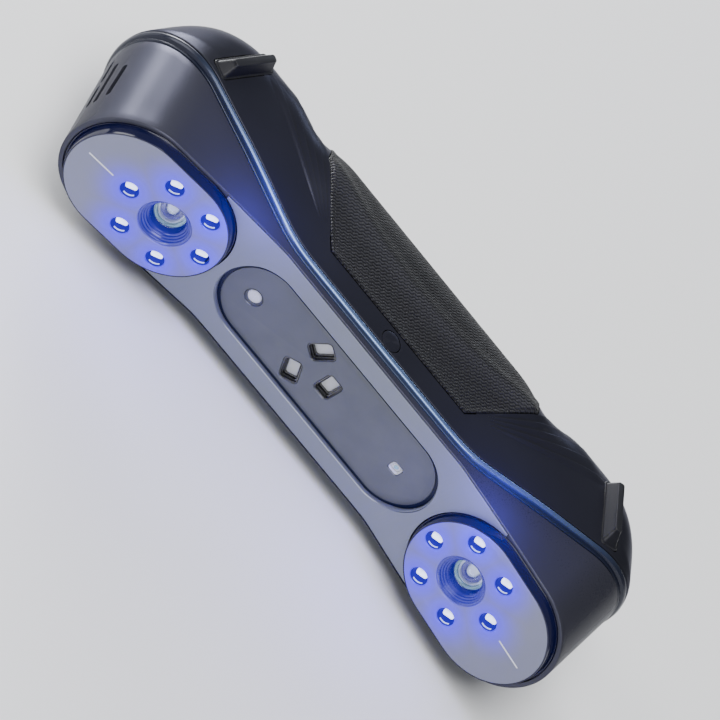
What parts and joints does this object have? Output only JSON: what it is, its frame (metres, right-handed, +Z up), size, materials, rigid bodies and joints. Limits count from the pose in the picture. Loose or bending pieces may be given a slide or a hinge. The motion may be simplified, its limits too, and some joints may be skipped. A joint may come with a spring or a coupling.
{
  "type": "handheld 3d scanner",
  "caption": "Handheld 3D scanner with two tilted round-ended camera windows, a narrow gripped waist with a sensor panel and laser windows, side rubber feet and a rear keypad.",
  "frame": {"origin": "middle of the underside, where the lower pair of rubber feet rests", "axes": "+X along the scanner's length, -Y towards the scanned object, +Z up, across the scanner's width: it lies on its flank"},
  "size_m": [0.2156, 0.0729, 0.0528],
  "materials": {
    "front_paint": "satin metallic charcoal",
    "plate_paint": "satin silver-blue",
    "trim_metal": "glossy anodised steel-blue",
    "rear_plastic": "fine satin charcoal-navy",
    "grip_rubber": "matte, small raised tiles",
    "panel_plastic": "satin slate grey",
    "bezel_gloss": "polished",
    "cover_plastic": "fine satin",
    "black_plastic": "moulded black",
    "lens_glass": "coated",
    "circuit_board": "solder mask",
    "led_lens": "clear dome",
    "foot_rubber": "moulded",
    "screw_steel": "machined",
    "laser_glass": "clear",
    "module_brass": "turned",
    "dark_glass": "dark tinted",
    "bench_aluminium": "cast and machined",
    "port_steel": "drawn",
    "status_lens": "diffusing",
    "button_rubber": "moulded"
  },
  "bodies": {
    "body": {"front_shell": "front_paint", "front_plate": "plate_paint", "seam_trim": "trim_metal", "rear_shell": "rear_plastic", "grip_sleeve": "grip_rubber", "centre_panel": "panel_plastic", "window_bezel_left": "bezel_gloss", "window_cover_left": "cover_plastic", "lens_barrel_left": "black_plastic", "front_lens_left": "lens_glass", "led_board_left": "circuit_board", "image_sensor_left": "circuit_board", "led_left_1": "led_lens", "led_left_2": "led_lens", "led_left_3": "led_lens", "led_left_4": "led_lens", "led_left_5": "led_lens", "led_left_6": "led_lens", "rubber_foot_left_upper": "foot_rubber", "shell_screw_left_upper": "screw_steel", "rubber_foot_left_lower": "foot_rubber", "shell_screw_left_lower": "screw_steel", "window_bezel_right": "bezel_gloss", "window_cover_right": "cover_plastic", "lens_barrel_right": "black_plastic", "front_lens_right": "lens_glass", "led_board_right": "circuit_board", "image_sensor_right": "circuit_board", "led_right_1": "led_lens", "led_right_2": "led_lens", "led_right_3": "led_lens", "led_right_4": "led_lens", "led_right_5": "led_lens", "led_right_6": "led_lens", "rubber_foot_right_upper": "foot_rubber", "shell_screw_right_upper": "screw_steel", "rubber_foot_right_lower": "foot_rubber", "shell_screw_right_lower": "screw_steel", "laser_window_1": "laser_glass", "laser_module_1": "module_brass", "laser_window_2": "laser_glass", "laser_module_2": "module_brass", "laser_window_3": "laser_glass", "laser_module_3": "module_brass", "projector_window": "dark_glass", "pattern_projector": "black_plastic", "colour_camera_window": "dark_glass", "colour_camera": "black_plastic", "optical_bench": "bench_aluminium", "main_board": "circuit_board", "heat_sink": "bench_aluminium", "usb_receptacle": "port_steel", "keypad_panel": "black_plastic", "button_board": "circuit_board", "status_light": "status_lens", "tripod_insert": "module_brass"},
    "scan_key": {"scan_button": "button_rubber"},
    "plus_key": {"plus_button": "button_rubber"},
    "minus_key": {"minus_button": "button_rubber"},
    "plug": {"tripod_plug": "button_rubber"}
  },
  "joints": [
    {"name": "scan_press", "type": "slide", "parent": "body", "child": "scan_key", "axis": [0, -1, 0], "range_m": [0, 0.0005], "stiffness_N_per_m": 2000},
    {"name": "plus_press", "type": "slide", "parent": "body", "child": "plus_key", "axis": [0, -1, 0], "range_m": [0, 0.0005], "stiffness_N_per_m": 2000},
    {"name": "minus_press", "type": "slide", "parent": "body", "child": "minus_key", "axis": [0, -1, 0], "range_m": [0, 0.0005], "stiffness_N_per_m": 2000},
    {"name": "plug_pull", "type": "slide", "parent": "body", "child": "plug", "axis": [0, 0, 1], "range_m": [0, 0.012]}
  ]
}
